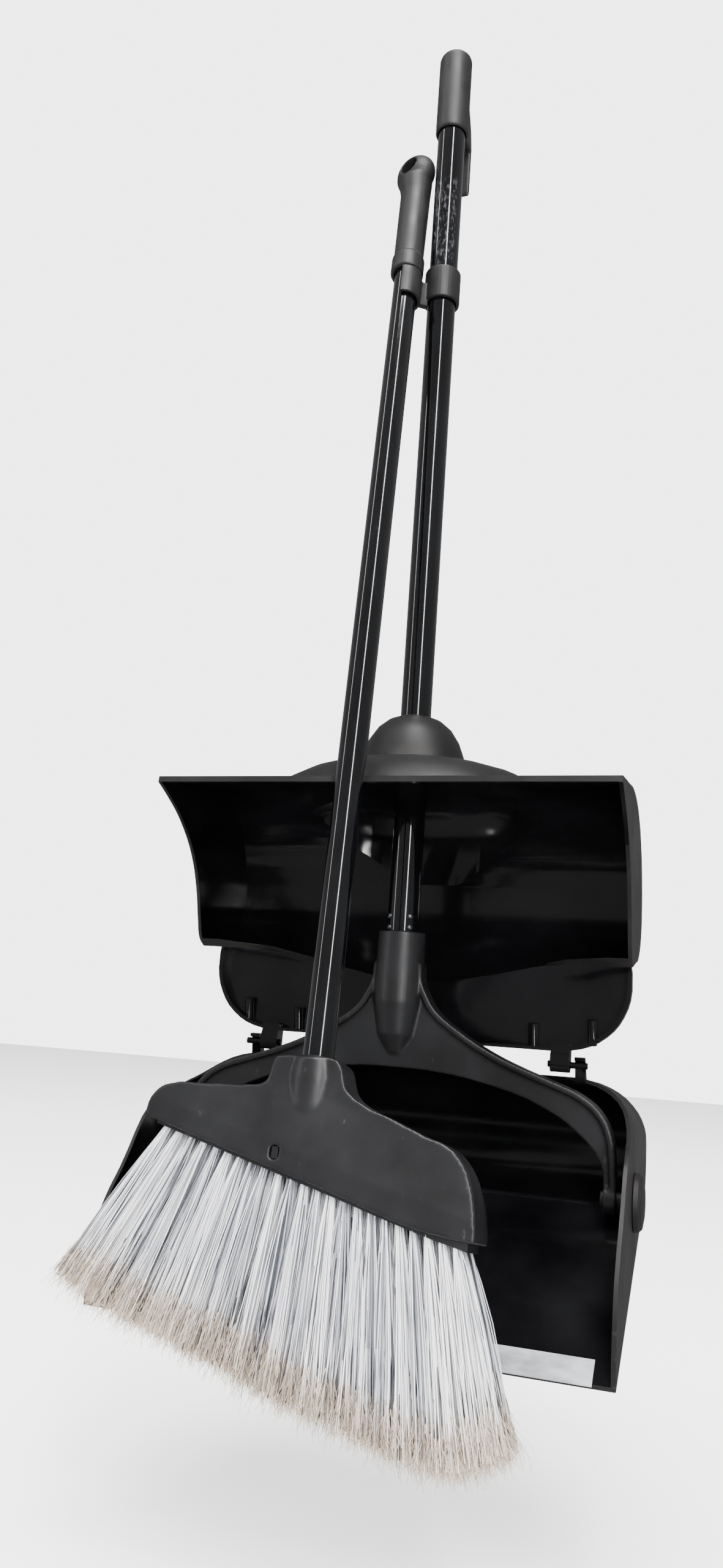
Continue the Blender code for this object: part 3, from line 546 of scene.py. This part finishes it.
broom_tube = tube(
    "broom_handle_tube",
    BROOM_FRAME @ Vector((0, 0, BROOM_BOTTOM)),
    BROOM_FRAME @ Vector((0, 0, BROOM_TOP)),
    BROOM_RADIUS,
    TUBE_WALL,
    COATED_STEEL,
)
stand_for(broom_tube, "broom_tube")
soft_moulding("broom_grip_ball", "broom_grip", GRIP_PLASTIC, 0.75 * MM, 8)
frame["nodes"]["threaded_plug"].data.materials.clear()
frame["nodes"]["threaded_plug"].data.materials.append(GRIP_PLASTIC)

# ---------------------------------------------------------------- broom head
# A moulded matt shell with the threaded socket, rounded at its shoulders. It snaps over a
# block that holds the tufts, whose edge shows as a thin dark line.

soft_moulding("broom_head_shell", "broom_head", MATT_PLASTIC, 1.0 * MM, 10)
crisp_moulding("tuft_holder", "tuft_block", MATT_PLASTIC, 0.5 * MM)

# ---------------------------------------------------------------- filaments
# Bundles of silver-grey polyester filament, stapled in five rows of holes. They fan out,
# and their last 22 mm are split into a soft beige flag of fine crimped hairs.


def filament():
    """Clear-grey polyester filament with a silky gloss; a random level per tuft and strand paints
    shade and highlight into its colour.
    """
    look, tree, shader, _ = new_material("silver-grey filament", IOR=1.55)
    shade = add(tree, "ShaderNodeAttribute", {"attribute_name": "shade"}).outputs["Fac"]
    flag = add(tree, "ShaderNodeAttribute", {"attribute_name": "flag"}).outputs["Fac"]
    # painted shade and highlight: each strand's level runs from dark grey, for shade between
    # strands, to white
    grey = ramp(
        tree,
        shade,
        [
            (0.0, linear("#3d4047")),
            (0.25, linear("#7d8088")),
            (0.5, linear("#cfd0d6")),
            (1.0, linear("#ffffff")),
        ],
    )
    # painted shade in the flag: its level runs from dark brown, for shade between hairs, to pale
    # beige
    beige = ramp(
        tree, shade, [(0.0, linear("#463c33")), (0.45, linear("#a59483")), (1.0, linear("#e6d8ca"))]
    )
    colour = add(
        tree, "ShaderNodeMix", {"data_type": "RGBA"}, {0: flag, 6: grey, 7: beige}
    ).outputs[2]
    tree.links.new(colour, shader.inputs["Base Color"])
    rough = ramp(tree, flag, [(0.0, 0.3), (1.0, 0.75)])
    tree.links.new(rough, shader.inputs["Roughness"])
    return look


FILAMENT = filament()
draw = np.random.default_rng(7)
ROWS = 5
TUFTS = 23
STRANDS = 64
FLAG_HAIRS = 3
STATIONS = 6
CORNERS = 3
# the rest of this section is in millimetres
ROW_SPREAD = 6.2
FIRST_TUFT, TUFT_SPAN = -84, 178
FLAG_LENGTH = 22
STRAND_RADIUS, HAIR_RADIUS = 0.32, 0.2


def line(points):
    """A function that reads y from x along a chain of points, in millimetres."""
    xs, ys = zip(*points)
    return lambda x: np.interp(x, xs, ys)


# the block's face, and the fan's tips, as seen from the front of the broom
ROOT_LINE = line([(-88.4, -642.8), (-38, -657), (23, -674.4), (72, -688.6), (97, -694.6)])
FAN_FROM = np.array([-86, -38, 23, 72, 95])
FAN_TO = np.array([-135, -60, 27, 90, 119])
TIP_LINE = line(
    [
        (-146, -720),
        (-124, -731),
        (-90, -744),
        (-40, -757),
        (0, -770),
        (48, -783),
        (75, -790),
        (95, -792),
        (119, -783),
    ]
)


def strand_mesh(name, row):
    """All the filaments of one row: thin three-sided tapered rods along bent paths."""
    starts, ends, bows, shades = [], [], [], []
    depth = (row - (ROWS - 1) / 2) * ROW_SPREAD
    for tuft in range(TUFTS):
        share = (tuft + 0.5 + 0.25 * (row % 2)) / TUFTS
        root_x = FIRST_TUFT + share * TUFT_SPAN
        # painted shade: each tuft draws a level at random, and each strand and flag hair varies it
        tuft_shade = draw.uniform(0.35, 1.0)
        for _ in range(STRANDS):
            angle, reach = draw.uniform(0, math.tau), math.sqrt(draw.uniform(0, 1))
            x0 = root_x + 1.9 * reach * math.cos(angle)
            y0 = depth + 1.7 * reach * math.sin(angle)
            spread = 5.0 * reach * math.cos(angle) + draw.normal(0, 1.6)
            x1 = np.interp(root_x, FAN_FROM, FAN_TO) + spread * 1.2
            y1 = y0 + depth * 0.6 + draw.normal(0, 1.3) + 2.5 * reach * math.sin(angle)
            z1 = TIP_LINE(x1) + draw.normal(0, 1.6) + 2.0
            starts.append((x0, y0, ROOT_LINE(x0) + 4))
            ends.append((x1, y1, z1))
            bows.append((draw.normal(0, 1.5), draw.normal(0, 0.8)))
            shades.append(np.clip(tuft_shade + draw.normal(0, 0.34) - 0.1, 0, 1))
    starts, ends = np.array(starts), np.array(ends)
    bows, shades = np.array(bows), np.array(shades)
    count = len(starts)
    along = np.linspace(0, 1, STATIONS)
    paths = starts[:, None] + (ends - starts)[:, None] * along[None, :, None]
    bend = np.sin(along * math.pi)[None, :]
    paths[:, :, 0] += bows[:, :1] * bend
    paths[:, :, 1] += bows[:, 1:] * bend
    way = (ends - starts) / np.linalg.norm(ends - starts, axis=1, keepdims=True)
    length = np.linalg.norm(ends - starts, axis=1)
    flag_share = 1 - FLAG_LENGTH / length
    # the flag: fine crimped hairs that leave each filament near its tip
    hair_start = starts + (ends - starts) * (
        flag_share[:, None] + draw.uniform(0, 0.12, (count, 1))
    )
    hairs = []
    hair_shades = []
    hair_steps = np.linspace(0, 1, STATIONS)
    for _ in range(FLAG_HAIRS):
        reach = draw.uniform(12, 20, (count, 1))
        aim = way * reach + draw.normal(0, 2.6, (count, 3)) * (1, 0.8, 0.5)
        path = hair_start[:, None] + aim[:, None] * hair_steps[None, :, None]
        crimp = draw.normal(0, 0.7, (count, STATIONS, 3))
        path += crimp * hair_steps[None, :, None]
        hook = draw.normal(0, 3.4, (count, 1, 3)) * (1, 0.4, 0.4)
        path += hook * (hair_steps[None, :, None] ** 2)
        hairs.append(path)
        hair_shades.append(np.clip(shades * 0.35 + draw.uniform(0, 0.65, count), 0, 1))
    all_paths = np.concatenate([paths, *hairs])
    all_shades = np.concatenate([shades, *hair_shades])
    hair_count = count * FLAG_HAIRS
    thick = np.concatenate([np.full(count, STRAND_RADIUS), np.full(hair_count, HAIR_RADIUS)])
    taper = np.ones((len(all_paths), STATIONS))
    taper[count:] *= np.linspace(1.0, 0.45, STATIONS)
    flag = np.zeros((len(all_paths), STATIONS))
    flag[:count] = np.clip((along[None] - flag_share[:, None]) / 0.12, 0, 1)
    flag[count:] = 1
    corner = np.arange(CORNERS) / CORNERS * math.tau
    ring = np.stack([np.cos(corner), np.sin(corner), np.zeros(CORNERS)], axis=1)
    size = (thick[:, None] * taper)[:, :, None, None]
    points = all_paths[:, :, None, :] + ring[None, None] * size
    points = points.reshape(-1, 3) * MM
    strands = len(all_paths)
    base = np.arange(strands)[:, None, None] * STATIONS * CORNERS
    here = base + np.arange(STATIONS - 1)[None, :, None] * CORNERS
    below = here + CORNERS
    side = np.arange(CORNERS)[None, None, :]
    after = (side + 1) % CORNERS
    walls = [below + side, below + after, here + after, here + side]
    quads = np.stack(walls, axis=-1).reshape(-1, 4)
    roots = base.reshape(-1, 1) + np.arange(CORNERS)
    tips = base.reshape(-1, 1) + (STATIONS - 1) * CORNERS + np.arange(CORNERS)[::-1]
    mesh = bpy.data.meshes.new(name)
    faces = quads.tolist() + roots.tolist() + tips.tolist()
    mesh.from_pydata(points.tolist(), [], faces)
    # the painted shade level and the flag share, written on every point
    shade_values = np.repeat(all_shades, STATIONS * CORNERS)
    flag_values = np.repeat(flag.reshape(-1), CORNERS)
    for label, values in (("shade", shade_values), ("flag", flag_values)):
        layer = mesh.attributes.new(label, "FLOAT", "POINT")
        layer.data.foreach_set("value", values.astype(np.float32))
    mesh.transform(BROOM_FRAME)
    mesh.shade_smooth()
    mesh.materials.append(FILAMENT)
    piece = bpy.data.objects.new(name, mesh)
    bpy.context.scene.collection.objects.link(piece)
    return piece


for row in range(ROWS):
    stand_for(strand_mesh(f"filament_row_{row + 1}", row), f"tuft_row_{row + 1}")

# ---------------------------------------------------------------- floor, lights, camera
# A pale studio floor under the hanging set. Two banks of softboxes light it and leave no
# mirror image in the black gloss. Two long strip lamps draw the bright lines down the tubes.

FLOOR_GAP = 60 * MM
FLOOR_HALF_SIDE = 6
FLOOR_MOTTLE = 0.4
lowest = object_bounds()[0][2]
bm = bmesh.new()
bmesh.ops.create_grid(bm, x_segments=1, y_segments=1, size=FLOOR_HALF_SIDE)
bmesh.ops.translate(bm, vec=(0, 0, lowest - FLOOR_GAP), verts=bm.verts)
floor_look, floor_tree, floor_shader, floor_where = new_material("pale studio floor")
floor_colour = ramp(
    floor_tree,
    noise(floor_tree, floor_where, FLOOR_MOTTLE),
    [(0.3, linear("#efefee")), (0.7, linear("#f4f4f3"))],
)
floor_tree.links.new(floor_colour, floor_shader.inputs["Base Color"])
floor_shader.inputs["Roughness"].default_value = 0.9
floor_shader.inputs["Emission Color"].default_value = linear("#fafafa")
floor_shader.inputs["Emission Strength"].default_value = 1.6
floor = new_piece("studio_floor", bm, floor_look, None)
floor.visible_glossy = False

world = bpy.data.worlds.new("studio")
bpy.context.scene.world = world
world.use_nodes = True
sky = world.node_tree.nodes["Background"]
sky.inputs["Color"].default_value = linear("#fafafa")
# the backdrop is bright, and the room that lights the set and shows in its gloss is dim
BACKDROP, ROOM = 4.2, 0.3
seen = add(world.node_tree, "ShaderNodeLightPath").outputs["Is Camera Ray"]
glow = maths(world.node_tree, "MULTIPLY_ADD", seen, BACKDROP, ROOM)
world.node_tree.links.new(glow, sky.inputs["Strength"])


def lamp(name, place, target, width, height, power, mirrored=True):
    """A rectangular lamp that points at a target, and that gloss mirrors or doesn't."""
    light = bpy.data.lights.new(name, "AREA")
    light.shape = "RECTANGLE"
    light.size = width
    light.size_y = height
    light.energy = power
    holder = bpy.data.objects.new(name, light)
    holder.visible_glossy = mirrored
    holder.location = place
    aim = Vector(target) - Vector(place)
    holder.rotation_euler = aim.to_track_quat("-Z", "Y").to_euler()
    bpy.context.scene.collection.objects.link(holder)


lamp("ceiling of softboxes", (0, -0.5, 3.0), (0, -0.2, -1), 4.5, 4.5, 520, mirrored=False)
lamp("wall of softboxes", (0, -4.0, 0.8), (0, 0, -0.6), 4.0, 3.0, 150, mirrored=False)
lamp("overhead lamp", (0.2, -0.8, 1.5), (0, 0, -0.6), 0.9, 0.5, 30)
lamp("strip lamp", (1.15, -2.0, 0.9), (0, 0, -0.1), 0.2, 5.0, 125)
lamp("left strip lamp", (-1.8, -1.2, 0.8), (0, 0, -0.2), 0.12, 4.0, 18)

LENS, SENSOR = 26.016, 36
CAMERA_PLACE = Vector((0.2206, -0.7759, -0.7112))
CAMERA_RIGHT = Vector((0.9492, 0.3070, 0.0698))
CAMERA_BACK = Vector((0.3148, -0.9259, -0.2086))
camera_data = bpy.data.cameras.new("camera")
camera_data.sensor_fit = "VERTICAL"
camera_data.sensor_height = SENSOR
camera_data.lens = LENS
camera = bpy.data.objects.new("camera", camera_data)
bpy.context.scene.collection.objects.link(camera)
camera_turn = Matrix((CAMERA_RIGHT, CAMERA_BACK.cross(CAMERA_RIGHT), CAMERA_BACK)).transposed()
camera.matrix_world = Matrix.Translation(CAMERA_PLACE) @ camera_turn.normalized().to_4x4()
bpy.context.scene.camera = camera
